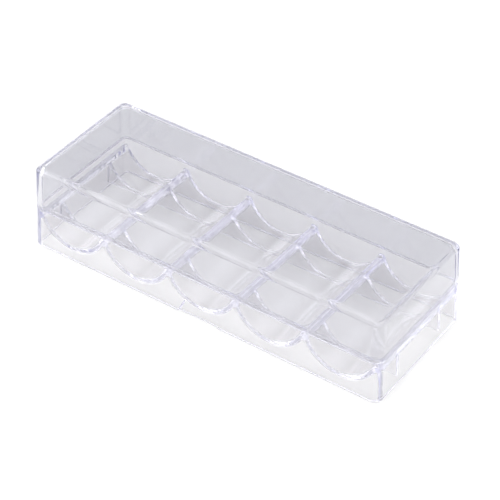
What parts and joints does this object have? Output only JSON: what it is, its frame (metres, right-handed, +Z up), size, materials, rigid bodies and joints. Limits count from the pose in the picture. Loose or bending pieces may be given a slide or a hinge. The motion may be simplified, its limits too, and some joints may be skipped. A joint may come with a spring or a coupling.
{
  "type": "chip rack",
  "caption": "Clear gaming chip rack: a low tray with round-bottomed channels under a deep lift-off box lid.",
  "frame": {"origin": "middle of the footprint, on the surface that the rack stands on", "axes": "+X along the length, across the channels; +Y along the channels, away from the side with the thumb recess; +Z up"},
  "size_m": [0.208, 0.077, 0.0473],
  "materials": {
    "clear_plastic": "polished, clear with a faint lavender tint"
  },
  "bodies": {
    "tray": {"tray": "clear_plastic"},
    "lid": {"lid": "clear_plastic"}
  },
  "joints": [
    {"name": "lid_lift", "type": "slide", "parent": "tray", "child": "lid", "axis": [0, 0, 1], "range_m": [0, 0.05]}
  ]
}
